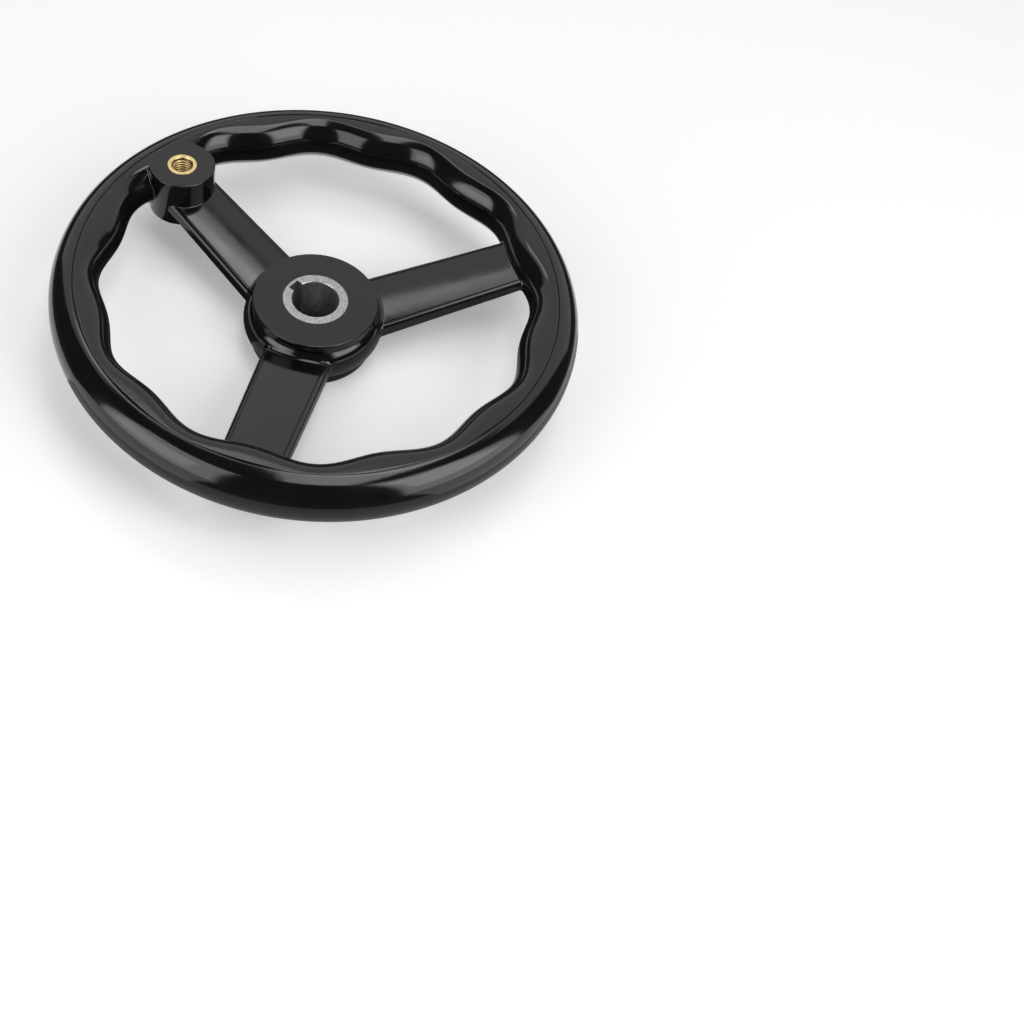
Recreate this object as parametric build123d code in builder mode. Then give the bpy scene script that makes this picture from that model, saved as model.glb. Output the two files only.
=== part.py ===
"""Machine handwheel: a moulded three-spoke wheel with a finger-grip rim, a keyed steel bush
and a brass insert for the handle's thread. Millimetres, +Z up along the bore.
The origin is on the bore's axis at the hub's back face, on which the wheel lies front up.
The spoke that carries the handle boss points along +X."""
import math
import os

from build123d import *

# Rim
rim_diameter = 200.0
rim_thickness = 21.0
rim_height = 26.0  # the rim's mid plane above the hub's back face
round_width = 9.0  # radial width of the outer round, up to the witness line
witness_step = 0.15  # the flat lands lie this much below the outer round

# Finger grip on the rim's inner side: a quarter of an oval in front, a straighter flank behind
grip_count = 12
crest_width = 21.3  # radial width of the rim at a crest, in the mid plane
grip_depth = 3.3  # from a crest out to a trough
grip_round = 8.1  # radial width of the oval, from the nose out to the front land
grip_slope = 1.3  # radial run per height on the back flank
grip_nose = 7.0  # height over which the nose turns into the back flank
grip_roll = 2.0  # radius that rolls the back flank over into the back land
points_per_grip = 8

# Hub
hub_diameter = 48.0
hub_length = 22.0
hub_belly = 14.0  # length of the rounded belly between the plain collars
hub_bead = 3.1  # how far the belly stands proud of the collars
hub_edge = 0.4  # chamfer of the hub's two face edges

# Spokes, with their sizes where they leave the hub and where they meet the rim
spoke_count = 3
hub_station = 2.0  # radial distance out from the hub's collars
rim_station = 18.0  # radial distance in from the rim's outer edge
flat_width_hub = 21.8
flat_width_rim = 18.4
shoulder_width_hub = 26.0
shoulder_width_rim = 22.8
parting_width_hub = 26.8
parting_width_rim = 23.6
front_rise_hub = 4.5  # the flat's height above the hub's middle
front_rise_rim = 2.6  # the flat's height above the rim's mid plane
shoulder_drop = 0.6
side_height_hub = 4.0
side_height_rim = 3.0
crown_front = 0.4
crown_back = 5.4
spoke_sink = 8.0  # each end runs this far into the hub and into the rim
hub_fillet = 2.0  # blends each spoke into the hub

# Handle boss
boss_diameter = 26.4
boss_inset = 22.2  # from the rim's outer edge to the boss's axis
boss_edge = 0.4  # chamfer of the boss's two face edges

# Steel bush
bore_diameter = 18.0
bush_wall = 3.5
bore_chamfer = 0.25
key_width = 5.0
key_depth = 2.3  # from the bore to the keyway's floor
key_turn = 5.5  # degrees, from the boss spoke
bush_groove_width = 6.0
bush_groove_depth = 0.5

# Brass insert
insert_diameter = 12.0
thread_diameter = 8.0
thread_core = 6.8
thread_mouth = 9.0
insert_groove_width = 5.0
insert_groove_depth = 0.8

# Worked out from the sizes above
rim_radius = rim_diameter / 2
land_height = rim_thickness / 2
round_centre = rim_radius - round_width
round_half = land_height + witness_step
crest_radius = rim_radius - crest_width
hub_radius = hub_diameter / 2
hub_middle = hub_length / 2
belly_bottom = hub_middle - hub_belly / 2
belly_top = hub_middle + hub_belly / 2
spoke_start = hub_radius + hub_station
spoke_end = rim_radius - rim_station
boss_radius = rim_radius - boss_inset
boss_bottom = rim_height - land_height
bush_diameter = bore_diameter + 2 * bush_wall
key_floor = bore_diameter / 2 + key_depth

# Half plane of the turned profiles, midway between two spokes
profile_plane = Plane.XZ.rotated((0, 0, 180 / spoke_count))


def flank(height):
    """Radial distance from a crest's nose to the back flank at a height from the mid plane."""
    return grip_slope * (math.hypot(height, grip_nose) - grip_nose)


def grip_levels():
    """Heights from the mid plane and radial distances from the nose, from back land to front land."""
    tilt = math.atan(grip_slope * land_height / math.hypot(land_height, grip_nose))
    corner = flank(land_height)
    reach = grip_roll * math.tan((math.pi / 2 - tilt) / 2)
    levels = []
    for share in (0.0, 0.2, 0.55, 1.0):
        turn = math.pi / 2 - (math.pi / 2 - tilt) * share
        height = land_height - grip_roll * (1 - math.sin(turn))
        levels.append((-height, corner + reach - grip_roll * math.cos(turn)))
    levels += [(-land_height * share, flank(land_height * share)) for share in (0.72, 0.5, 0.25, 0.0)]
    for turn in (math.radians(degrees) for degrees in (15, 30, 45, 60, 75, 90)):
        levels.append((land_height * math.sin(turn), grip_round * (1 - math.cos(turn))))
    return levels


def grip_outline(run):
    """Points of the wavy outline, a crest at each spoke, at a radial distance from the nose."""
    points = []
    count = grip_count * points_per_grip
    for i in range(count):
        turn = 2 * math.pi * i / count
        radius = crest_radius + run + grip_depth * (1 - math.cos(grip_count * turn)) / 2
        points.append((radius * math.cos(turn), radius * math.sin(turn)))
    return points


def at_station(hub_value, rim_value, station):
    """A spoke's size at a distance from the axis, straight between the hub end and the rim end."""
    share = (station - spoke_start) / (spoke_end - spoke_start)
    return hub_value + (rim_value - hub_value) * share


def spoke_section(station):
    """A spoke's section: near-flat front, bevelled shoulders, drafted sides, crowned back."""
    flat = at_station(flat_width_hub, flat_width_rim, station) / 2
    shoulder = at_station(shoulder_width_hub, shoulder_width_rim, station) / 2
    parting = at_station(parting_width_hub, parting_width_rim, station) / 2
    top = at_station(hub_middle + front_rise_hub, rim_height + front_rise_rim, station)
    edge = top - shoulder_drop
    split = edge - at_station(side_height_hub, side_height_rim, station)
    with BuildSketch(Plane.YZ.offset(station)) as section:
        with BuildLine():
            ThreePointArc((-flat, top), (0, top + crown_front), (flat, top))
            Polyline((flat, top), (shoulder, edge), (parting, split))
            ThreePointArc((parting, split), (0, split - crown_back), (-parting, split))
            Polyline((-parting, split), (-shoulder, edge), (-flat, top))
        make_face()
    return section.sketch


# The wavy opening inside the rim
with BuildPart() as grip_opening:
    for height, run in grip_levels():
        with BuildSketch(Plane.XY.offset(rim_height + height)):
            with BuildLine():
                Spline(*grip_outline(run), periodic=True)
            make_face()
    loft()

# The rim: outer round, a flat land on each side, the wavy grip inside
with BuildPart() as rim_ring:
    with BuildSketch(profile_plane):
        inside = crest_radius - 1
        with BuildLine():
            Line((inside, rim_height - land_height), (round_centre, rim_height - land_height))
            Line((round_centre, rim_height - land_height), (round_centre, rim_height - round_half))
            EllipticalCenterArc((round_centre, rim_height), round_width, round_half, -90, arc_size=180)
            Line((round_centre, rim_height + round_half), (round_centre, rim_height + land_height))
            Line((round_centre, rim_height + land_height), (inside, rim_height + land_height))
            Line((inside, rim_height + land_height), (inside, rim_height - land_height))
        make_face()
    revolve(axis=Axis.Z)
    add(grip_opening.part, mode=Mode.SUBTRACT)

# One spoke, along +X, from inside the hub to inside the rim
with BuildPart() as spoke:
    for station in (hub_radius - spoke_sink, crest_radius + spoke_sink):
        add(spoke_section(station))
    loft(ruled=True)

# The handle boss, as thick as the rim at its lands
with BuildPart(Plane((boss_radius, 0, boss_bottom))) as boss:
    Cylinder(boss_diameter / 2, rim_thickness, align=(Align.CENTER, Align.CENTER, Align.MIN))
    chamfer(boss.edges().filter_by(GeomType.CIRCLE), boss_edge)

# Steel bush: bore, keyway and a retaining groove that the moulding fills
with BuildPart() as keyed_bush:
    Cylinder(bush_diameter / 2, hub_length, align=(Align.CENTER, Align.CENTER, Align.MIN))
    Cylinder(bore_diameter / 2, hub_length, align=(Align.CENTER, Align.CENTER, Align.MIN), mode=Mode.SUBTRACT)
    bore_edges = keyed_bush.edges().filter_by(GeomType.CIRCLE).filter_by(lambda e: e.radius < bush_diameter / 2)
    chamfer(bore_edges, bore_chamfer)
    with BuildSketch(Plane.XY.rotated((0, 0, key_turn))):
        Rectangle(key_floor, key_width, align=(Align.MIN, Align.CENTER))
    extrude(amount=hub_length, mode=Mode.SUBTRACT)
    with BuildSketch(Plane.XY.offset((hub_length - bush_groove_width) / 2)):
        Circle(bush_diameter / 2)
        Circle(bush_diameter / 2 - bush_groove_depth, mode=Mode.SUBTRACT)
    extrude(amount=bush_groove_width, mode=Mode.SUBTRACT)

# Brass insert: through bore at the thread's core size, countersunk at both faces, with a groove
with BuildPart(Plane((boss_radius, 0, boss_bottom))) as threaded_insert:
    Cylinder(insert_diameter / 2, rim_thickness, align=(Align.CENTER, Align.CENTER, Align.MIN))
    Cylinder(thread_core / 2, rim_thickness, align=(Align.CENTER, Align.CENTER, Align.MIN), mode=Mode.SUBTRACT)
    core_edges = threaded_insert.edges().filter_by(GeomType.CIRCLE).filter_by(lambda e: e.radius < thread_diameter / 2)
    chamfer(core_edges, (thread_mouth - thread_core) / 2)
    with BuildSketch(Plane((boss_radius, 0, rim_height - insert_groove_width / 2))):
        Circle(insert_diameter / 2)
        Circle(insert_diameter / 2 - insert_groove_depth, mode=Mode.SUBTRACT)
    extrude(amount=insert_groove_width, mode=Mode.SUBTRACT)

# The moulding: hub, spokes, handle boss and rim in one piece, with seats for the bush and the insert
with BuildPart() as wheel_body:
    with BuildSketch(profile_plane):
        with BuildLine():
            Polyline((hub_radius, belly_bottom), (hub_radius, 0), (0, 0), (0, hub_length))
            Polyline((0, hub_length), (hub_radius, hub_length), (hub_radius, belly_top))
            ThreePointArc(
                (hub_radius, belly_top),
                (hub_radius + hub_bead, hub_middle),
                (hub_radius, belly_bottom),
            )
        make_face()
    revolve(axis=Axis.Z)
    hub_circles = wheel_body.edges().filter_by(GeomType.CIRCLE).filter_by(Plane.XY)
    chamfer(hub_circles.group_by(Axis.Z)[0] + hub_circles.group_by(Axis.Z)[-1], hub_edge)
    with PolarLocations(0, spoke_count):
        add(spoke.part)
    fillet(wheel_body.edges(Select.NEW), hub_fillet)
    add(rim_ring.part)
    add(boss.part)
    with BuildSketch(Plane.XY):
        Circle(bush_diameter / 2)
    extrude(amount=hub_length, mode=Mode.SUBTRACT)
    with BuildSketch(Plane.XY.offset((hub_length - bush_groove_width) / 2)):
        Circle(bush_diameter / 2)
        Circle(bush_diameter / 2 - bush_groove_depth, mode=Mode.SUBTRACT)
    extrude(amount=bush_groove_width)
    with BuildSketch(Plane((boss_radius, 0, boss_bottom))):
        Circle(insert_diameter / 2)
    extrude(amount=rim_thickness, mode=Mode.SUBTRACT)
    with BuildSketch(Plane((boss_radius, 0, rim_height - insert_groove_width / 2))):
        Circle(insert_diameter / 2)
        Circle(insert_diameter / 2 - insert_groove_depth, mode=Mode.SUBTRACT)
    extrude(amount=insert_groove_width)

wheel_body.part.label = "wheel_body"
keyed_bush.part.label = "keyed_bush"
threaded_insert.part.label = "threaded_insert"

os.makedirs("parts", exist_ok=True)
export_step(wheel_body.part, "parts/wheel_body.step")
export_step(keyed_bush.part, "parts/keyed_bush.step")
export_step(threaded_insert.part, "parts/threaded_insert.step")
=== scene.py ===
"""Machine handwheel: a moulded black wheel with a finger-grip rim, a keyed steel bush and a
brass threaded insert. Shapes are worked out in millimetres and put into the meshes in metres."""
import math
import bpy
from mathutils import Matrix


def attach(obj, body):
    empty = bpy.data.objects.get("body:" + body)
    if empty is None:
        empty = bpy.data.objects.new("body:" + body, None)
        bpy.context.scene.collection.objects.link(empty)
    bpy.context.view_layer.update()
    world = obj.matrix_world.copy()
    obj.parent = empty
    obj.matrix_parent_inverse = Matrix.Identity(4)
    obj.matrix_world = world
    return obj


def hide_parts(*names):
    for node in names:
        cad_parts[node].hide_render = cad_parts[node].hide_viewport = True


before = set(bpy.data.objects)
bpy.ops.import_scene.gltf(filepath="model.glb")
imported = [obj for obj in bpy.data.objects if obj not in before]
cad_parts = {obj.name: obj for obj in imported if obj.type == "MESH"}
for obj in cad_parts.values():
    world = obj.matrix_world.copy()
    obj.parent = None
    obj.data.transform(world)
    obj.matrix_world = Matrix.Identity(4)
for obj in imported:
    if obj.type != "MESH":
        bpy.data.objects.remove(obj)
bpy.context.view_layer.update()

from types import SimpleNamespace

import bpy
import numpy as np
from mathutils import Matrix, Vector

bl_info = {
    "name": "Machine Handwheel",
    "version": (1, 0, 0),
    "blender": (4, 5, 0),
    "location": "View3D > Sidebar > Handwheel",
    "description": "Builds a moulded three-spoke machine handwheel and a studio to show it in",
    "category": "Add Mesh",
}

MM = 0.001


def size_mm(name, description, value):
    """A length, given in millimetres and kept in metres."""
    return bpy.props.FloatProperty(
        name=name, description=description, default=value * MM, min=0.0, precision=5,
        subtype="DISTANCE", unit="LENGTH")


def ends_mm(name, description, hub_end, rim_end):
    """A spoke's length at its hub end and at its rim end, in millimetres, kept in metres."""
    return bpy.props.FloatVectorProperty(
        name=name, description=description, default=(hub_end * MM, rim_end * MM), size=2,
        min=0.0, precision=5, unit="LENGTH")


def tint(name, description, value):
    """A linear colour."""
    return bpy.props.FloatVectorProperty(
        name=name, description=description, default=value, subtype="COLOR", size=3,
        min=0.0, max=1.0)


def own_properties(group):
    """The properties that a group's class adds."""
    return [prop for prop in group.bl_rna.properties if prop.identifier not in ("rna_type", "name")]


def in_mm(group):
    """A group's values, with each length in millimetres."""
    values = {prop.identifier: getattr(group, prop.identifier) for prop in own_properties(group)}
    for prop in own_properties(group):
        if getattr(prop, "unit", "NONE") == "LENGTH":
            value = values[prop.identifier]
            if prop.is_array:
                values[prop.identifier] = tuple(round(v / MM, 4) for v in value)
            else:
                values[prop.identifier] = round(value / MM, 4)
    return SimpleNamespace(**values)


class RimSizes(bpy.types.PropertyGroup):
    radius: size_mm("Radius", "Outer radius of the rim", 100.0)
    height: size_mm("Height", "The rim's mid plane above the hub's back face", 26.0)
    half_land: size_mm("Half thickness", "From the mid plane to a flat land", 10.5)
    round_width: size_mm("Round width", "Radial width of the outer round", 9.0)
    witness_step: size_mm("Witness step", "How far the round stands above the lands", 0.15)
    crest: size_mm("Crest radius", "Innermost reach of the grip's crests", 78.7)
    grip_count: bpy.props.IntProperty(
        name="Grips", description="Crests round the rim", default=12, min=3)
    grip_depth: size_mm("Grip depth", "From a crest out to a trough", 3.3)
    grip_round: size_mm("Grip round", "Radial width of the front's oval", 8.1)
    slope: bpy.props.FloatProperty(
        name="Slope", description="Radial run per height on the grip's back flank", default=1.3,
        min=0.0)
    nose: size_mm("Nose", "Height over which the nose turns into the back flank", 7.0)
    roll: size_mm("Roll", "Radius that rolls the back flank over into the back land", 2.0)


class HubSizes(bpy.types.PropertyGroup):
    radius: size_mm("Radius", "Radius of the plain collars", 24.0)
    length: size_mm("Length", "Length of the hub", 22.0)
    belly: size_mm("Belly", "Length of the rounded belly", 14.0)
    bead: size_mm("Bead", "How far the belly stands proud", 3.1)
    edge: size_mm("Edge", "Rounding of the face edges", 0.4)
    fillet: size_mm("Fillet", "Radius that blends the spokes into the hub", 2.0)


class SpokeSizes(bpy.types.PropertyGroup):
    start: size_mm("Start", "Radius of the section at the hub", 26.0)
    end: size_mm("End", "Radius of the section at the rim", 82.0)
    flat: ends_mm("Flat", "Half width of the flat", 11.0, 9.6)
    bend: ends_mm("Bend", "From the middle to where the shoulder turns down", 12.0, 10.4)
    shoulder: ends_mm("Shoulder", "Half width at the shoulder's edge", 13.0, 11.4)
    parting: ends_mm("Parting", "Half width at the parting line", 13.4, 11.8)
    rise: ends_mm("Rise", "Flat above the middle of the hub and of the rim", 4.5, 2.6)
    side_height: ends_mm("Side height", "From the shoulder's edge to the parting line", 4.0, 3.0)
    rim_fillet: size_mm("Rim fillet", "Radius that blends a spoke into the rim", 1.2)
    crown_front: size_mm("Front crown", "Rise of the front face across its width", 0.4)
    crown_back: size_mm("Back crown", "Depth of the rounded back", 5.4)
    shoulder_drop: size_mm("Shoulder drop", "From the flat down to the shoulder's edge", 0.9)
    line_depth: size_mm("Line depth", "Depth of the fine line beside the flat", 0.3)


class BossSizes(bpy.types.PropertyGroup):
    radius: size_mm("Radius", "Radius of the handle boss", 13.2)
    centre: size_mm("Centre", "From the wheel's axis to the boss's axis", 77.8)
    edge: size_mm("Edge", "Rounding of the boss's face edges", 0.4)
    fillet: size_mm("Fillet", "Radius that blends the spoke into the boss", 0.5)
    valley: size_mm("Valley", "Radius that fills the valley between boss and grip", 0.9)


class MetalSizes(bpy.types.PropertyGroup):
    bush_radius: size_mm("Bush radius", "Outer radius of the steel bush", 12.5)
    bore_radius: size_mm("Bore radius", "Radius of the bore", 9.0)
    key_width: size_mm("Keyway width", "Width of the keyway", 5.0)
    key_floor: size_mm("Keyway floor", "From the axis to the keyway's floor", 11.3)
    key_turn: bpy.props.FloatProperty(
        name="Keyway turn", description="From the boss spoke to the keyway",
        default=math.radians(5.5), subtype="ANGLE", unit="ROTATION")
    bore_chamfer: size_mm("Bore chamfer", "Chamfer of the bore's two edges", 0.25)
    insert_radius: size_mm("Insert radius", "Outer radius of the brass insert", 6.0)
    insert_chamfer: size_mm("Insert chamfer", "Chamfer of the insert's outer edges", 0.25)
    thread_radius: size_mm("Thread radius", "Radius of the thread's roots", 4.0)
    core_radius: size_mm("Core radius", "Radius of the thread's crests", 3.4)
    mouth_radius: size_mm("Mouth radius", "Radius of the countersunk mouth", 4.5)
    pitch: size_mm("Pitch", "Pitch of the thread", 1.25)


class FinishColours(bpy.types.PropertyGroup):
    phenolic: tint("Phenolic", "Black of the moulding", (0.0045, 0.0045, 0.0048))
    steel: tint("Steel", "Grey of the bush", (0.44, 0.44, 0.435))
    brass: tint("Brass", "Yellow of the insert", (0.88, 0.68, 0.33))


def grid_faces(rows, cols, wrap_rows, wrap_cols, first):
    """Quads of a grid of rows by cols points, numbered along each row from first on."""
    r = np.arange(rows if wrap_rows else rows - 1)
    c = np.arange(cols if wrap_cols else cols - 1)
    a, b = np.meshgrid(r, c, indexing="ij")
    a, b = a.ravel(), b.ravel()
    a1, b1 = (a + 1) % rows, (b + 1) % cols
    return first + np.stack([a * cols + b, a * cols + b1, a1 * cols + b1, a1 * cols + b], axis=1)


def signed_volume(points, quads):
    """Volume inside the quads by summing origin tetrahedra, negative if they face inwards."""
    p = points[quads]
    tri = np.cross(p[:, 1], p[:, 2]) * p[:, 0] + np.cross(p[:, 2], p[:, 3]) * p[:, 0]
    return tri.sum() / 6


def make_piece(name, grids, sharp=math.radians(38)):
    """One mesh object from shells. A shell is (points, wrap_rows, wrap_cols): points is an array
    rows x cols x 3 in millimetres. A shell that doesn't wrap along its rows is closed by a fan
    from the mean of its first and of its last row."""
    points, quads, tris, base = [], [], [], 0
    for grid, wrap_rows, wrap_cols in grids:
        rows, cols = grid.shape[:2]
        flat = grid.reshape(-1, 3)
        q = grid_faces(rows, cols, wrap_rows, wrap_cols, 0)
        flip = signed_volume(flat - flat.mean(0), q) < 0
        t = np.empty((0, 3), int)
        if not wrap_rows:
            ends = np.stack([grid[0].mean(0), grid[-1].mean(0)])
            k = np.arange(cols)
            k1 = (k + 1) % cols
            low = np.stack([np.full(cols, rows * cols), k1, k], axis=1)
            last = (rows - 1) * cols
            high = np.stack([np.full(cols, rows * cols + 1), last + k, last + k1], axis=1)
            t = np.concatenate([low, high])
            flat = np.concatenate([flat, ends])
        if flip:
            q, t = q[:, ::-1], t[:, ::-1]
        points.append(flat)
        quads.append(q + base)
        tris.append(t + base)
        base += len(flat)
    points, quads, tris = np.concatenate(points) * MM, np.concatenate(quads), np.concatenate(tris)
    mesh = bpy.data.meshes.new(name)
    mesh.vertices.add(len(points))
    mesh.vertices.foreach_set("co", points.ravel())
    loops = np.concatenate([quads.ravel(), tris.ravel()])
    starts = np.concatenate([np.arange(len(quads)) * 4, len(quads) * 4 + np.arange(len(tris)) * 3])
    mesh.loops.add(len(loops))
    mesh.loops.foreach_set("vertex_index", loops)
    mesh.polygons.add(len(starts))
    mesh.polygons.foreach_set("loop_start", starts)
    mesh.update(calc_edges=True)
    mesh.validate()
    mesh.shade_smooth()
    mesh.set_sharp_from_angle(angle=sharp)
    piece = bpy.data.objects.new(name, mesh)
    bpy.context.collection.objects.link(piece)
    return piece


def turned(profile, count, centre=(0.0, 0.0)):
    """A closed profile of (radius, height) points turned round a vertical axis at centre: the
    point at angle a is centre + radius * (cos a, sin a)."""
    a = np.linspace(0, 2 * np.pi, count, endpoint=False)[:, None]
    r, z = profile[None, :, 0], profile[None, :, 1]
    return np.stack([centre[0] + r * np.cos(a), centre[1] + r * np.sin(a), z + 0 * a], axis=2)


def arc_points(centre, radius, start, end, count):
    """Points of an arc in the (radius, height) plane, from start to end in degrees."""
    a = np.radians(np.linspace(start, end, count))
    return np.stack([centre[0] + radius * np.cos(a), centre[1] + radius * np.sin(a)], axis=1)


def line_points(a, b, count):
    """Points evenly spaced from a up to, but not including, b."""
    f = np.linspace(0, 1, count, endpoint=False)[:, None]
    return np.asarray(a) * (1 - f) + np.asarray(b) * f


def grip_run(rim, height):
    """Radial distance from a crest's nose to the grip at a height from the mid plane: a quarter
    of an oval in front, and behind a hyperbola, round at the nose, that tends to a straight
    flank."""
    share = np.clip(np.asarray(height) / rim.half_land, 0, 0.999)
    front = rim.grip_round * (1 - np.sqrt(1 - share ** 2))
    back = rim.slope * (np.hypot(height, rim.nose) - rim.nose)
    return np.where(np.asarray(height) > 0, front, back)


def grip_lean(rim, height):
    """Slope of the radial distance over the height, the derivative of grip_run."""
    share = np.clip(np.asarray(height) / rim.half_land, 0, 0.97)
    front = rim.grip_round * share / np.sqrt(1 - share ** 2) / rim.half_land
    return np.where(np.asarray(height) > 0, front, rim.slope * height / np.hypot(height, rim.nose))


def grip_wave(rim, angle):
    """How far the grip lies outside the crests at an angle: one cosine wave a grip."""
    return rim.grip_depth * (1 - np.cos(rim.grip_count * angle)) / 2


def rim_gap(rim, p):
    """Signed distance from points inside the opening to the grip's flank, and its direction:
    the flank is radius = crest + run(height) + wave(angle), and the difference to a point's
    radius is divided by the length of its gradient."""
    r = np.hypot(p[..., 0], p[..., 1])
    a = np.arctan2(p[..., 1], p[..., 0])
    h = p[..., 2] - rim.height
    gap = rim.crest + grip_run(rim, h) + grip_wave(rim, a) - r
    slope_h = grip_lean(rim, h)
    slope_a = rim.grip_depth * rim.grip_count * np.sin(rim.grip_count * a) / 2 / r
    grad = np.stack([-np.cos(a) - slope_a * np.sin(a), -np.sin(a) + slope_a * np.cos(a), slope_h],
                    axis=-1)
    length = np.linalg.norm(grad, axis=-1)
    return gap / length, grad / length[..., None]


def rim_grid(rim, boss, insert_radius, around):
    """The rim as a torus of around x section points. Its section runs from the nose up the
    front oval, across the land, through the witness line's groove, round the outer half
    ellipse, back through its groove and land, over the roll and along the back flank. Inside
    the boss it starts beyond a circle about the insert, so that the threaded hole is free."""
    tilt = math.atan(rim.slope * rim.half_land / math.hypot(rim.half_land, rim.nose))
    corner = rim.slope * (math.hypot(rim.half_land, rim.nose) - rim.nose)
    reach = rim.roll * math.tan((math.pi / 2 - tilt) / 2)
    u = np.linspace(0, math.pi / 2, 30)
    front_h, front_run = rim.half_land * np.sin(u), rim.grip_round * (1 - np.cos(u))
    h = np.linspace(0, rim.half_land - rim.roll * (1 - math.sin(tilt)), 18, endpoint=False)[1:]
    t = np.linspace(tilt, math.pi / 2, 9)
    back_h = np.concatenate([h, rim.half_land - rim.roll * (1 - np.sin(t))])[::-1]
    flank = rim.slope * (np.hypot(h, rim.nose) - rim.nose)
    back_run = np.concatenate([flank, corner + reach - rim.roll * np.cos(t)])[::-1]
    a = np.linspace(0, 2 * np.pi, around, endpoint=False)[:, None]
    one = np.ones_like(a)
    centre = rim.radius - rim.round_width
    # The witness line's groove: radial distance from the round's edge, and height over the land
    groove = np.array([(-0.40, 0.0), (-0.28, -0.09), (-0.14, -0.20), (-0.02, -0.07)])
    land_end = centre + groove[0, 0]
    share = np.linspace(0, 1, 5)[1:-1]

    def land(edge):
        return edge + (land_end - edge) * share

    front = rim.crest + front_run[None] + grip_wave(rim, a)
    back = rim.crest + back_run[None] + grip_wave(rim, a)
    e = np.linspace(0, np.pi, 47)
    oval_r = centre + rim.round_width * np.sin(e)
    oval_h = (rim.half_land + rim.witness_step) * np.cos(e)
    flat = np.full(3, rim.half_land)
    r = np.concatenate([front, land(front[:, -1:]), (centre + groove[:, 0]) * one, oval_r * one,
                        (centre + groove[::-1, 0]) * one, land(back[:, :1])[:, ::-1], back], axis=1)
    z = np.concatenate([front_h, flat, rim.half_land + groove[:, 1], oval_h,
                        -rim.half_land - groove[::-1, 1], -flat, -back_h])
    clear = ((insert_radius + boss.radius) / 2) ** 2 - (boss.centre * np.sin(a)) ** 2
    beyond = boss.centre * np.cos(a) + np.sqrt(np.maximum(clear, 0))
    r = np.where((clear > 0) & (np.cos(a) > 0), np.maximum(r, beyond), r)
    return np.stack([r * np.cos(a), r * np.sin(a), (rim.height + z) * one], axis=2)


def hub_grid(hub, bush_radius, around):
    """The hub turned from its profile: two faces, two plain collars and the belly's arc, and
    the bush's seat."""
    r, e, top = hub.radius, hub.edge, hub.length
    half = hub.belly / 2
    arc = (half ** 2 + hub.bead ** 2) / (2 * hub.bead)
    centre = (r + hub.bead - arc, top / 2)
    swing = math.degrees(math.asin(half / arc))
    profile = np.concatenate([
        line_points((bush_radius, 0), (r - e, 0), 4),
        arc_points((r - e, e), e, -90, 0, 6),
        line_points((r, e + 0.3), (r, top / 2 - half), 3),
        arc_points(centre, arc, -swing, swing, 31),
        line_points((r, top / 2 + half + 0.3), (r, top - e), 3),
        arc_points((r - e, top - e), e, 0, 90, 6),
        line_points((r - e - 0.3, top), (bush_radius, top), 4),
        line_points((bush_radius, top), (bush_radius, 0), 3),
    ])
    return turned(profile, around)


def hub_gap(hub, p):
    """Signed distance from points to the hub's belly, and its direction: the distance to the
    circle that the belly's arc is turned from, less the arc's radius."""
    half = hub.belly / 2
    arc = (half ** 2 + hub.bead ** 2) / (2 * hub.bead)
    r = np.hypot(p[..., 0], p[..., 1])
    dr = r - (hub.radius + hub.bead - arc)
    dz = p[..., 2] - hub.length / 2
    d = np.hypot(dr, dz)
    grad = np.stack([dr * p[..., 0] / r, dr * p[..., 1] / r, dz], axis=-1) / d[..., None]
    return d - arc, grad


def boss_gap(boss, p):
    """Signed distance from points to the boss's side, and its direction."""
    dx, dy = p[..., 0] - boss.centre, p[..., 1]
    d = np.hypot(dx, dy)
    return d - boss.radius, np.stack([dx / d, dy / d, 0 * d], axis=-1)


def rounded(before, corner, after, count=5):
    """A corner softened by a quadratic curve from before to after, with the corner as its
    control point."""
    f = np.linspace(0, 1, count)[None, 1:-1, None]
    a, c, b = before[:, None], corner[:, None], after[:, None]
    return a * (1 - f) ** 2 + 2 * c * f * (1 - f) + b * f ** 2


def short_of(p, q, gap):
    """The point that lies a gap short of q on the way from p."""
    way = q - p
    return q - way / np.linalg.norm(way, axis=1)[:, None] * gap


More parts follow.
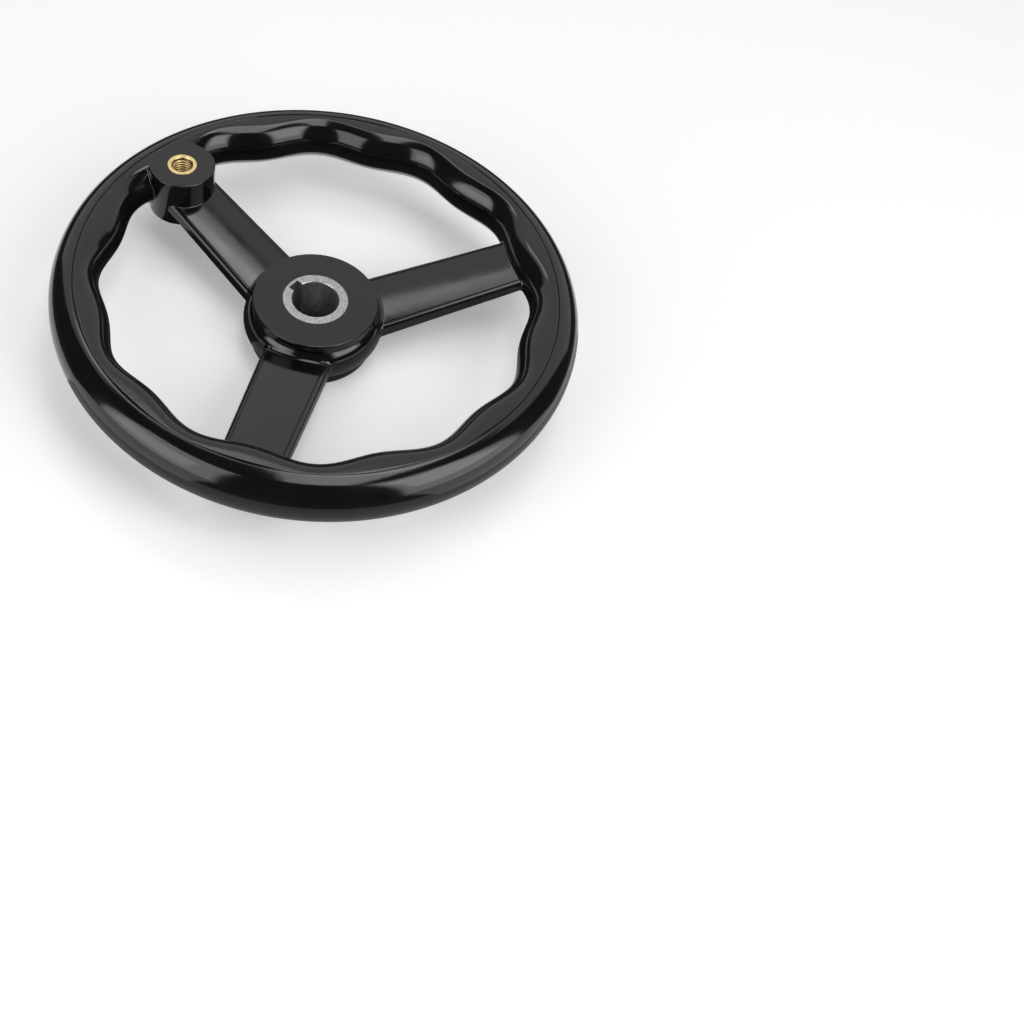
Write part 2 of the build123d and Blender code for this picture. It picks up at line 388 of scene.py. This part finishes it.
def spoke_section(spoke, rim, hub, share):
    """Sections (y, z) of a spoke at shares of the way from hub to rim, and how far each point
    sinks for the fine line beside the flat: crowned front, shoulders that curve down, drafted
    sides and a back of one arc."""
    def between(hub_end, rim_end):
        return hub_end + (rim_end - hub_end) * share

    def point(y, z):
        return np.stack([y, z], axis=1)

    flat, bend = between(*spoke.flat), between(*spoke.bend)
    shoulder, parting = between(*spoke.shoulder), between(*spoke.parting)
    top = between(hub.length / 2 + spoke.rise[0], rim.height + spoke.rise[1])
    edge = top - spoke.shoulder_drop
    split = edge - between(*spoke.side_height)
    bend_drop, half_line, soft, soft_parting = 0.1, 0.28, 0.2, 0.35
    a, m = point(flat, top), point(bend, top - bend_drop)
    b, c = point(shoulder, edge), point(parting, split)
    flipped = np.array([-1.0, 1.0])
    u = np.linspace(-1, 1, 25)[None] * (1 - half_line / flat)[:, None]
    front = np.stack([flat[:, None] * u, top[:, None] + spoke.crown_front * (1 - u ** 2)], axis=2)
    line = a[:, None] + np.array([(-0.1, 0.0), (0.1, 0.0), (half_line, -0.01)])
    outer = short_of(m, b, soft)
    curve = [line, rounded(line[:, -1], m, outer, 9), outer[:, None]]
    shoulder_curve = np.concatenate(curve, axis=1)
    deep = spoke.crown_back
    big = (parting ** 2 + deep ** 2) / (2 * deep)
    w = np.linspace(1, -1, 33)[None] * (1 - soft_parting / parting)[:, None]
    y = parting[:, None] * w
    sag = np.sqrt(big[:, None] ** 2 - y ** 2) - (big - deep)[:, None]
    back = np.stack([y, split[:, None] - sag], axis=2)
    f = np.linspace(0, 1, 6)[None, :, None]
    side_top, side_low = short_of(c, b, soft), short_of(b, c, soft_parting)
    side = side_top[:, None] * (1 - f) + side_low[:, None] * f
    section = np.concatenate([
        front, shoulder_curve, rounded(outer, b, side[:, 0]),
        side, rounded(side[:, -1], c, back[:, 0]),
        back, rounded(back[:, -1], c * flipped, side[:, -1] * flipped),
        side[:, ::-1] * flipped, rounded(side[:, 0] * flipped, b * flipped, outer * flipped),
        shoulder_curve[:, ::-1] * flipped,
    ], axis=1)
    sunk = np.zeros(section.shape[1])
    first = front.shape[1]
    sunk[[first, first + 1, -2, -1]] = spoke.line_depth
    return section, sunk


def spoke_grid(spoke, rim, hub, boss, at_boss):
    """A spoke along +X as rings. Every point of its section moves on a straight line from hub to
    rim. A ball of the fillet's radius rolls along each line until it touches the hub, and at the
    other end the rim or the boss: its two touching points and the arc between them are the
    fillet's rings. The boss's fillet fades out towards the boss's foot."""
    ends, sunk = spoke_section(spoke, rim, hub, np.array([0.0, 1.0]))
    near = np.concatenate([np.full((ends.shape[1], 1), spoke.start), ends[0]], axis=1)
    far = np.concatenate([np.full((ends.shape[1], 1), spoke.end), ends[1]], axis=1)
    span = far - near

    def at(s):
        return near + span * ((s - spoke.start) / (spoke.end - spoke.start))[:, None]

    def outward(s):
        p = at(s)
        along = np.roll(p, -1, axis=0) - np.roll(p, 1, axis=0)
        n = np.cross(along, span)
        n /= np.linalg.norm(n, axis=1)[:, None]
        middle = p.mean(0)
        return n * np.sign((n * (p - middle)).sum(1))[:, None]

    def rolled(gap, radius, low, high, rising):
        lo, hi = np.full(len(near), low), np.full(len(near), high)
        for _ in range(40):
            mid = (lo + hi) / 2
            p = at(mid)
            d, _ = gap(p + outward(mid) * radius[:, None])
            inside = (d < radius) == rising
            lo, hi = np.where(inside, mid, lo), np.where(inside, hi, mid)
        s = (lo + hi) / 2
        n = outward(s)
        p = at(s)
        ball = p + n * radius[:, None]
        d, g = gap(ball)
        touch = ball - g * d[:, None]
        for _ in range(3):
            d, g = gap(touch)
            touch = touch - g * d[:, None]
        return s, p, ball, touch

    def fillet_rings(p, ball, touch, count):
        a, b = p - ball, touch - ball
        la, lb = np.linalg.norm(a, axis=1)[:, None], np.linalg.norm(b, axis=1)[:, None]
        ua, ub = a / la, b / lb
        angle = np.arccos(np.clip((ua * ub).sum(1), -1, 1))[:, None]
        rings = []
        for f in np.linspace(0, 1, count):
            u = (ua * np.sin((1 - f) * angle) + ub * np.sin(f * angle)) / np.sin(angle)
            rings.append(ball + u * (la * (1 - f) + lb * f))
        return rings

    steady = np.full(len(near), hub.fillet)
    s0, p0, ball0, touch0 = rolled(
        lambda p: hub_gap(hub, p), steady, spoke.start - 4, spoke.start + 14, True)
    if at_boss:
        side, foot = boss.centre - boss.radius + 1.4, rim.height - rim.half_land + 0.3
        fade = np.clip((at(np.full(len(near), side))[:, 2] - foot) / 2, 0.05, 1)
        s1, p1, ball1, touch1 = rolled(
            lambda p: boss_gap(boss, p), boss.fillet * fade, side - 14, side + 8, False)
    else:
        steady = np.full(len(near), spoke.rim_fillet)
        s1, p1, ball1, touch1 = rolled(
            lambda p: rim_gap(rim, p), steady, spoke.end - 22, spoke.end + 4, False)
    rings = [at(s0 - 6), touch0 - np.array([0.8, 0, 0])]
    rings += fillet_rings(p0, ball0, touch0, 9)[::-1]
    along = np.concatenate([[0.004], np.linspace(0, 1, 30)[1:-1], [0.996]])
    rings += [at(s0 + (s1 - s0) * f) for f in along]
    rings += fillet_rings(p1, ball1, touch1, 8)
    if at_boss:
        away = boss_gap(boss, touch1)[1]
        rings += [touch1 - 0.5 * away, touch1 - 2.0 * away]
    else:
        rings += [touch1 + np.array([0.8, 0, 0]), at(s1 + 5)]
    grid = np.stack(rings)
    grid[4:-4, :, 2] -= sunk
    return grid


def turned_about_axis(grid, degrees):
    """A grid turned about the wheel's axis."""
    c, s = math.cos(math.radians(degrees)), math.sin(math.radians(degrees))
    return grid @ np.array([[c, s, 0], [-s, c, 0], [0, 0, 1]])


def boss_grid(boss, rim, insert_radius, around):
    """The handle boss turned from its profile. Where it lies on the rim's lands it dips a hair
    below them, so that the two flat faces read as one."""
    low, high = rim.height - rim.half_land, rim.height + rim.half_land
    r, e = boss.radius, boss.edge
    profile = np.concatenate([
        line_points((insert_radius, low), (r - e, low), 14),
        arc_points((r - e, low + e), e, -90, 0, 6),
        line_points((r, low + e + 0.3), (r, high - e - 0.3), 6)[1:],
        arc_points((r - e, high - e), e, 0, 90, 6),
        line_points((r - e - 0.3, high), (insert_radius, high), 14),
        line_points((insert_radius, high), (insert_radius, low), 3),
    ])
    grid = turned(profile, around, (boss.centre, 0.0))
    radius = np.hypot(grid[..., 0], grid[..., 1])
    angle = np.arctan2(grid[..., 1], grid[..., 0])
    land = rim.crest + rim.grip_round + grip_wave(rim, angle)
    dip = 0.03 * np.clip((radius - land - 0.05) / 0.3, 0, 1)
    side = np.sign(grid[..., 2] - rim.height)
    grid[..., 2] -= side * dip
    return grid


def boss_valley_grid(boss, rim, side):
    """The fillet in the valley between boss and grip: at each height, the arc of a circle that
    touches the boss's circle and the grip's outline, with its ends sunk a little into both."""
    near_faces = np.linspace(8.6, 10.1, 6)
    h = np.concatenate([-near_faces[::-1], np.linspace(-8.2, 8.2, 41), near_faces])
    radius, depth = boss.valley, 2.2
    lo, hi = np.full(len(h), math.radians(50.0)), np.full(len(h), math.radians(150.0))
    run = grip_run(rim, h)

    def gap_at(turn):
        x = boss.centre + (boss.radius + radius) * np.cos(turn)
        y = (boss.radius + radius) * np.sin(turn)
        r, a = np.hypot(x, y), np.arctan2(y, x)
        slope = rim.grip_depth * rim.grip_count * np.sin(rim.grip_count * a) / 2 / r
        length = np.hypot(1, slope)
        gx = (-np.cos(a) - slope * np.sin(a)) / length
        gy = (-np.sin(a) + slope * np.cos(a)) / length
        return (rim.crest + run + grip_wave(rim, a) - r) / length, x, y, gx, gy

    for _ in range(40):
        mid = (lo + hi) / 2
        close = gap_at(mid)[0] < radius
        lo, hi = np.where(close, mid, lo), np.where(close, hi, mid)
    _, x, y, gx, gy = gap_at((lo + hi) / 2)
    start = np.arctan2(-y, boss.centre - x)
    end = np.arctan2(-gy, -gx)
    swing = (end - start + np.pi) % (2 * np.pi) - np.pi
    f = np.linspace(-0.12, 1.12, 15)[None]
    turn = start[:, None] + swing[:, None] * f
    away = radius + 0.6 * np.clip(np.abs(f - 0.5) - 0.5, 0, 1)
    front = np.stack([x[:, None] + away * np.cos(turn), y[:, None] + away * np.sin(turn),
                      (h + rim.height)[:, None] + 0 * turn], axis=2)
    half_turn = start + swing / 2
    middle = np.stack([x + depth * np.cos(half_turn), y + depth * np.sin(half_turn),
                       h + rim.height], axis=1)
    back = front[:, ::-1] * 0.4 + middle[:, None] * 0.6
    grid = np.concatenate([front, back], axis=1)
    if side < 0:
        grid = grid * np.array([1, -1, 1])
    return grid


def bush_grid(metal, length, around):
    """The bush as rings round its axis. The inner outline is the bore's circle, broken by the
    keyway: along a ray it is the nearest of the keyway's side and floor."""
    r, half, floor = metal.bore_radius, metal.key_width / 2, metal.key_floor
    corner, mouth = math.atan2(half, floor), math.asin(half / r)
    tiny = 1e-4
    plain = np.linspace(mouth + tiny, 2 * np.pi - mouth - tiny, around)
    wall = np.linspace(corner, mouth, 8)
    base = np.linspace(-corner, corner, 9)
    a = np.concatenate([base[:-1], wall, plain, -wall[::-1] + 2 * np.pi])
    inner = np.full(len(a), r)
    b = (a + np.pi) % (2 * np.pi) - np.pi
    keyed = np.abs(b) <= mouth
    to_floor = floor / np.cos(b[keyed])
    to_side = half / np.maximum(np.abs(np.sin(b[keyed])), 1e-9)
    inner[keyed] = np.minimum(to_floor, to_side)
    eased = np.where(keyed, 0.0, metal.bore_chamfer)
    outer = np.full(len(a), metal.bush_radius)
    low, high = np.zeros(len(a)), np.full(len(a), float(length))
    lip = inner + eased
    halfway = (outer + lip) / 2
    rings = [(outer, low), (outer, high), (halfway, high), (lip, high), (inner, high - eased),
             (inner, (high + low) / 2), (inner, low + eased), (lip, low), (halfway, low)]
    a = a + metal.key_turn
    return np.stack([np.stack([q * np.cos(a), q * np.sin(a), z], axis=1) for q, z in rings], axis=1)


def insert_grid(metal, boss, rim, around):
    """The insert: outer wall, two face rings, countersinks, and a thread whose radius follows a
    60 degree groove that climbs one pitch a turn."""
    low, high = rim.height - rim.half_land, rim.height + rim.half_land
    a = np.linspace(0, 2 * np.pi, around, endpoint=False)[:, None]
    z = np.linspace(high, low, 253)[None]
    phase = ((z - metal.pitch * a / (2 * np.pi)) / metal.pitch) % 1.0
    flank_slope, root_flat = 2.9, 0.22
    tooth = np.clip(flank_slope * np.abs(phase - 0.5) - root_flat, 0, 1)
    thread = metal.core_radius + (metal.thread_radius - metal.core_radius) * (1 - tooth)
    near_face = np.minimum(high - z, z - low)
    wall = np.maximum(thread, metal.mouth_radius - near_face)
    ring = np.ones_like(a)
    chamfer = metal.insert_chamfer
    outer, rim_edge = metal.insert_radius * ring, (metal.insert_radius - chamfer) * ring
    r = np.concatenate([outer, rim_edge, wall, rim_edge, outer], axis=1)
    zz = np.concatenate([(high - chamfer) * ring, high * ring, z * ring, low * ring,
                         (low + chamfer) * ring], axis=1)
    return np.stack([boss.centre + r * np.cos(a), r * np.sin(a), zz], axis=2)


def new_material(name):
    """An empty node material and its output's shader socket."""
    material = bpy.data.materials.new(name)
    material.use_nodes = True
    tree = material.node_tree
    tree.nodes.clear()
    out = tree.nodes.new("ShaderNodeOutputMaterial")
    shader = tree.nodes.new("ShaderNodeBsdfPrincipled")
    tree.links.new(shader.outputs["BSDF"], out.inputs["Surface"])
    return material, tree, shader


def noise(tree, scale, detail=4.0, stretch=(1, 1, 1), roughness=0.5):
    """A noise value on Object coordinates, in metres."""
    place = tree.nodes.new("ShaderNodeTexCoord")
    mapping = tree.nodes.new("ShaderNodeMapping")
    mapping.inputs["Scale"].default_value = stretch
    tex = tree.nodes.new("ShaderNodeTexNoise")
    tex.inputs["Scale"].default_value = scale
    tex.inputs["Detail"].default_value = detail
    tex.inputs["Roughness"].default_value = roughness
    tree.links.new(place.outputs["Object"], mapping.inputs["Vector"])
    tree.links.new(mapping.outputs["Vector"], tex.inputs["Vector"])
    return tex.outputs["Fac"]


def spread(tree, value, low, high, to_low, to_high):
    """A value mapped from one range to another and clamped."""
    node = tree.nodes.new("ShaderNodeMapRange")
    node.inputs["From Min"].default_value = low
    node.inputs["From Max"].default_value = high
    node.inputs["To Min"].default_value = to_low
    node.inputs["To Max"].default_value = to_high
    tree.links.new(value, node.inputs["Value"])
    return node.outputs["Result"]


def two_tone(tree, value, first, second):
    """A colour between two, each a plain colour or another node's output."""
    node = tree.nodes.new("ShaderNodeMix")
    node.data_type = "RGBA"
    for socket, colour in ((node.inputs["A"], first), (node.inputs["B"], second)):
        if isinstance(colour, bpy.types.NodeSocket):
            tree.links.new(colour, socket)
        else:
            socket.default_value = (*colour, 1)
    tree.links.new(value, node.inputs["Factor"])
    return node.outputs["Result"]


def mottled(tree, value, colour, dark, light):
    """The colour times dark where the value is 0, and times light where it is 1."""
    first, second = (tuple(min(1.0, c * share) for c in colour) for share in (dark, light))
    return two_tone(tree, value, first, second)


def uneven_polish(tree, shader, scale, detail, low, high):
    """Roughness that a noise varies between low and high."""
    polish = spread(tree, noise(tree, scale, detail), 0.3, 0.7, low, high)
    tree.links.new(polish, shader.inputs["Roughness"])


def add_bump(tree, shader, value, strength, distance):
    """Fine relief from a value."""
    node = tree.nodes.new("ShaderNodeBump")
    node.inputs["Strength"].default_value = strength
    node.inputs["Distance"].default_value = distance
    tree.links.new(value, node.inputs["Height"])
    tree.links.new(node.outputs["Normal"], shader.inputs["Normal"])


def phenolic_material(colour):
    """Glossy black moulding: nearly even black, a faint orange peel and a changing polish."""
    material, tree, shader = new_material("black_phenolic")
    shader.inputs["IOR"].default_value = 1.55
    tone = spread(tree, noise(tree, 90.0), 0.3, 0.7, 0.0, 1.0)
    tree.links.new(mottled(tree, tone, colour, 0.8, 1.25), shader.inputs["Base Color"])
    uneven_polish(tree, shader, 60.0, 3.0, 0.09, 0.14)
    add_bump(tree, shader, noise(tree, 420.0, 2.0), 0.05, 0.0002)
    return material


def steel_material(colour):
    """Dull grey bush: mottled grain and a rough matt shine."""
    material, tree, shader = new_material("grey_steel")
    shader.inputs["Metallic"].default_value = 1.0
    tone = spread(tree, noise(tree, 1400.0, 5.0, roughness=0.7), 0.35, 0.65, 0.0, 1.0)
    tree.links.new(mottled(tree, tone, colour, 0.55, 1.35), shader.inputs["Base Color"])
    uneven_polish(tree, shader, 700.0, 4.0, 0.34, 0.52)
    add_bump(tree, shader, noise(tree, 2200.0, 3.0), 0.25, 0.0001)
    return material


def ring_mask(tree, centre, low, high, soft):
    """1 between two radii about a vertical axis through centre on the X axis, fading over soft.
    Lengths in metres."""
    place = tree.nodes.new("ShaderNodeTexCoord")
    mapping = tree.nodes.new("ShaderNodeMapping")
    mapping.inputs["Location"].default_value = (-centre, 0.0, 0.0)
    mapping.inputs["Scale"].default_value = (1.0, 1.0, 0.0)
    length = tree.nodes.new("ShaderNodeVectorMath")
    length.operation = "LENGTH"
    both = tree.nodes.new("ShaderNodeMath")
    both.operation = "MULTIPLY"
    tree.links.new(place.outputs["Object"], mapping.inputs["Vector"])
    tree.links.new(mapping.outputs["Vector"], length.inputs[0])
    radius = length.outputs["Value"]
    tree.links.new(spread(tree, radius, low, low + soft, 0.0, 1.0), both.inputs[0])
    tree.links.new(spread(tree, radius, high, high + soft, 1.0, 0.0), both.inputs[1])
    return both.outputs[0]


def brass_material(colour, centre, crest, root):
    """Turned brass: bright yellow, a little uneven, with painted shade darkening the thread's
    roots.
    """
    material, tree, shader = new_material("turned_brass")
    shader.inputs["Metallic"].default_value = 1.0
    tone = spread(tree, noise(tree, 600.0, 3.0), 0.3, 0.7, 0.0, 1.0)
    # Painted shade: the colour turns dark brown between the thread's crests, where the roots lie in
    # shade.
    depth, root_shade_colour = root - crest, (0.10, 0.055, 0.015)
    root_shade_mask = ring_mask(tree, centre, crest + depth * 0.3, root * 1.01, depth * 0.4)
    plain = mottled(tree, tone, colour, 0.85, 1.12)
    tree.links.new(two_tone(tree, root_shade_mask, plain, root_shade_colour), shader.inputs["Base Color"])
    uneven_polish(tree, shader, 900.0, 3.0, 0.38, 0.52)
    add_bump(tree, shader, noise(tree, 3000.0, 2.0), 0.15, 0.00005)
    return material


class HANDWHEEL_OT_moulding(bpy.types.Operator):
    """Build the moulded wheel: rim, hub, spokes and handle boss in one mesh"""
    bl_idname = "handwheel.moulding"
    bl_label = "Moulded Wheel"

    def execute(self, context):
        scene = context.scene
        rim, hub, spoke = in_mm(scene.wheel_rim), in_mm(scene.wheel_hub), in_mm(scene.wheel_spoke)
        boss, metal = in_mm(scene.wheel_boss), in_mm(scene.wheel_metal)
        grids = [(rim_grid(rim, boss, metal.insert_radius, 480), True, True),
                 (hub_grid(hub, metal.bush_radius, 240), True, True),
                 (boss_grid(boss, rim, metal.insert_radius, 144), True, True),
                 (spoke_grid(spoke, rim, hub, boss, True), False, True)]
        free = spoke_grid(spoke, rim, hub, boss, False)
        grids += [(turned_about_axis(free, angle), False, True) for angle in (120, 240)]
        grids += [(boss_valley_grid(boss, rim, side), False, True) for side in (1, -1)]
        piece = make_piece("moulded_wheel", grids)
        piece.data.materials.append(phenolic_material(scene.wheel_colours.phenolic))
        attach(piece, "root")
        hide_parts("wheel_body")
        return {"FINISHED"}


class HANDWHEEL_OT_bush(bpy.types.Operator):
    """Build the steel bush with its bore and keyway"""
    bl_idname = "handwheel.bush"
    bl_label = "Keyed Bush"

    def execute(self, context):
        scene = context.scene
        grid = bush_grid(in_mm(scene.wheel_metal), in_mm(scene.wheel_hub).length, 168)
        piece = make_piece("steel_bush", [(grid, True, True)], sharp=math.radians(25))
        piece.data.materials.append(steel_material(scene.wheel_colours.steel))
        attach(piece, "root")
        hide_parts("keyed_bush")
        return {"FINISHED"}


class HANDWHEEL_OT_insert(bpy.types.Operator):
    """Build the brass insert with its thread"""
    bl_idname = "handwheel.insert"
    bl_label = "Threaded Insert"

    def execute(self, context):
        scene = context.scene
        metal, boss = scene.wheel_metal, scene.wheel_boss
        grid = insert_grid(in_mm(metal), in_mm(boss), in_mm(scene.wheel_rim), 96)
        piece = make_piece("brass_insert", [(grid, True, True)], sharp=math.radians(40))
        piece.data.materials.append(brass_material(
            scene.wheel_colours.brass, boss.centre, metal.core_radius, metal.thread_radius))
        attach(piece, "root")
        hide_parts("threaded_insert")
        return {"FINISHED"}


def soft_box(name, place, target, size, radiance):
    """A flat soft box at place that faces target. Its power is the radiance, where 1 is white,
    times pi times its area. Lengths in metres."""
    data = bpy.data.lights.new(name, "AREA")
    data.shape = "RECTANGLE"
    data.size, data.size_y = size
    data.energy = radiance * math.pi * size[0] * size[1]
    obj = bpy.data.objects.new(name, data)
    obj.location = place
    obj.rotation_euler = (Vector(target) - Vector(place)).to_track_quat("-Z", "Y").to_euler()
    obj.visible_camera = False
    bpy.context.collection.objects.link(obj)
    return obj


def upright_box(name, azimuth, distance, width, low, high, radiance):
    """A soft box that stands upright at an azimuth in degrees and faces the wheel's axis."""
    turn = math.radians(azimuth)
    middle = (low + high) / 2
    place = (distance * math.cos(turn), distance * math.sin(turn), middle)
    return soft_box(name, place, (0.0, 0.0, middle), (width, high - low), radiance)


def overhead_box(name, place, size, turn, radiance):
    """A soft box that faces straight down, turned about the vertical by degrees."""
    box = soft_box(name, place, (place[0], place[1], 0.0), size, radiance)
    box.rotation_euler = (0.0, 0.0, math.radians(turn))


def studio_card(name, azimuths, rings, material):
    """A card about the wheel's axis that only reflections see: a strip between two azimuths in
    degrees through rings of (radius, height), in metres."""
    a = np.radians(np.linspace(*azimuths, 49))[:, None]
    r, z = np.array(rings).T
    points = np.stack([r * np.cos(a), r * np.sin(a), z + 0 * a], axis=2).reshape(-1, 3)
    mesh = bpy.data.meshes.new(name)
    mesh.from_pydata(points, [], grid_faces(49, len(rings), False, False, 0))
    mesh.materials.append(material)
    card = bpy.data.objects.new(name, mesh)
    card.visible_camera = card.visible_diffuse = card.visible_shadow = False
    bpy.context.collection.objects.link(card)


def cloth(name, grey):
    """Matt cloth of one grey."""
    material, tree, shader = new_material(name)
    shader.inputs["Base Color"].default_value = (grey, grey, grey, 1)
    shader.inputs["Roughness"].default_value = 1.0
    shader.inputs["Specular IOR Level"].default_value = 0.0
    return material


def any_of(tree, outputs):
    """The highest of several ray tests."""
    value = outputs[0]
    for output in outputs[1:]:
        node = tree.nodes.new("ShaderNodeMath")
        node.operation = "MAXIMUM"
        tree.links.new(value, node.inputs[0])
        tree.links.new(output, node.inputs[1])
        value = node.outputs[0]
    return value


def shown_rays(tree):
    """1 for the rays that show the background: camera, glossy and transmission."""
    path = tree.nodes.new("ShaderNodeLightPath")
    kinds = ("Is Camera Ray", "Is Glossy Ray", "Is Transmission Ray")
    return any_of(tree, [path.outputs[kind] for kind in kinds])


def white_floor():
    """A pale floor with its own material: a faint glow for the rays that show the background
    keeps it white under the wheel's soft shadow."""
    mesh = bpy.data.meshes.new("floor")
    half = 4.0
    corners = [(-half, -half, 0), (half, -half, 0), (half, half, 0), (-half, half, 0)]
    mesh.from_pydata(corners, [], [(0, 1, 2, 3)])
    material, tree, shader = new_material("pale_floor")
    shader.inputs["Base Color"].default_value = (0.90, 0.90, 0.90, 1)
    shader.inputs["Roughness"].default_value = 1.0
    shader.inputs["Specular IOR Level"].default_value = 0.0
    shader.inputs["Emission Color"].default_value = (1, 1, 1, 1)
    glow = spread(tree, shown_rays(tree), 0.0, 1.0, 0.0, 0.22)
    tree.links.new(glow, shader.inputs["Emission Strength"])
    mesh.materials.append(material)
    floor = bpy.data.objects.new("floor", mesh)
    bpy.context.collection.objects.link(floor)


def studio_world(fill):
    """A white world for the rays that show the background, and a weak fill light for the rest."""
    world = bpy.data.worlds.new("studio")
    world.use_nodes = True
    tree = world.node_tree
    tree.nodes.clear()
    out = tree.nodes.new("ShaderNodeOutputWorld")
    background = tree.nodes.new("ShaderNodeBackground")
    strength = spread(tree, shown_rays(tree), 0.0, 1.0, fill, 1.0)
    tree.links.new(strength, background.inputs["Strength"])
    tree.links.new(background.outputs[0], out.inputs["Surface"])
    return world


def photo_camera():
    """The camera, at the photograph's viewing angle, and its framing as lens shift."""
    data = bpy.data.cameras.new("camera")
    data.sensor_width = 36.0
    data.lens = 46.35
    data.shift_x, data.shift_y = 0.1838, -0.1974
    camera = bpy.data.objects.new("camera", data)
    azimuth, elevation, roll = (math.radians(angle) for angle in (129.75622, 48.12855, 7.33746))
    camera.matrix_world = (
        Matrix.Translation((-0.219679, 0.258335, 0.394737))
        @ Matrix.Rotation(azimuth + math.pi / 2, 4, "Z")
        @ Matrix.Rotation(math.pi / 2 - elevation, 4, "X")
        @ Matrix.Rotation(roll, 4, "Z"))
    bpy.context.collection.objects.link(camera)
    return camera


class HANDWHEEL_OT_stage(bpy.types.Operator):
    """Set up the pale floor, the soft light and the camera"""
    bl_idname = "handwheel.stage"
    bl_label = "Studio"

    def execute(self, context):
        scene = context.scene
        scene.view_settings.view_transform = "Standard"
        white_floor()
        scene.world = studio_world(0.30)
        upright_box("soft_box_left", 81, 0.90, 0.76, 0.03, 1.44, 1.5)
        upright_box("soft_box_left_core", 78, 0.89, 0.50, 0.20, 0.80, 1.1)
        upright_box("soft_box_right", 190, 0.90, 0.72, 0.03, 1.90, 1.5)
        upright_box("soft_box_right_core", 189, 0.89, 0.54, 0.35, 1.50, 1.6)
        overhead_box("soft_box_back", (0.48, -0.44, 1.2), (1.00, 0.19), 23, 2.2)
        overhead_box("soft_box_above", (-0.07, -0.12, 1.19), (0.35, 1.00), 40, 2.8)
        black, grey = cloth("black_cloth", 0.07), cloth("grey_shade_mat", 0.5)
        wall, low = 1.3, 0.001
        studio_card("ceiling", (0, 360), [(0.001, 2.0), (1.25, 2.0)], black)
        studio_card("flag_front", (105, 167), [(0.16, low), (wall, low), (wall, 3.1)], black)
        studio_card("flag_left", (4, 58), [(0.18, low), (wall, low), (wall, 2.4)], black)
        studio_card("flag_right", (214, 247), [(0.18, low), (wall, low), (wall, 3.2)], black)
        studio_card("flag_high", (246, 278), [(wall, 2.05), (wall, 3.4)], black)
        studio_card("flag_back", (247, 364), [(0.19, low), (wall, low), (wall, 0.22)], black)
        # Painted shade: a black sheet under the wheel's middle that only reflections see, standing
        # for the shaded floor there.
        studio_card("shade_sheet_back", (230, 424), [(0.001, low), (0.085, low)], black)
        # Partly painted shade: grey sheets round the wheel that only reflections see, standing for
        # a grey table darkened by the wheel's shade.
        studio_card("mat", (64, 230), [(0.001, low), (0.135, low)], grey)
        studio_card("mat_front", (105, 167), [(0.135, low), (0.16, low)], grey)
        scene.camera = photo_camera()
        return {"FINISHED"}


class HANDWHEEL_PT_panel(bpy.types.Panel):
    """The pieces' buttons and their sizes and colours"""
    bl_label = "Machine Handwheel"
    bl_idname = "HANDWHEEL_PT_panel"
    bl_space_type = "VIEW_3D"
    bl_region_type = "UI"
    bl_category = "Handwheel"

    def draw(self, context):
        layout = self.layout
        for operator in OPERATORS:
            layout.operator(operator.bl_idname)
        for name in GROUPS:
            group = getattr(context.scene, name)
            box = layout.box()
            box.label(text=name.replace("wheel_", "").capitalize())
            for prop in own_properties(group):
                box.prop(group, prop.identifier)


GROUPS = {
    "wheel_rim": RimSizes,
    "wheel_hub": HubSizes,
    "wheel_spoke": SpokeSizes,
    "wheel_boss": BossSizes,
    "wheel_metal": MetalSizes,
    "wheel_colours": FinishColours,
}
OPERATORS = (HANDWHEEL_OT_moulding, HANDWHEEL_OT_bush, HANDWHEEL_OT_insert, HANDWHEEL_OT_stage)


def register():
    for cls in (*GROUPS.values(), *OPERATORS, HANDWHEEL_PT_panel):
        bpy.utils.register_class(cls)
    for name, group in GROUPS.items():
        setattr(bpy.types.Scene, name, bpy.props.PointerProperty(type=group))


def unregister():
    for name in GROUPS:
        delattr(bpy.types.Scene, name)
    for cls in (HANDWHEEL_PT_panel, *OPERATORS[::-1], *GROUPS.values()):
        bpy.utils.unregister_class(cls)


def main():
    register()
    bpy.ops.handwheel.stage()
    bpy.ops.handwheel.moulding()
    bpy.ops.handwheel.bush()
    bpy.ops.handwheel.insert()


if __name__ == "__main__":
    main()
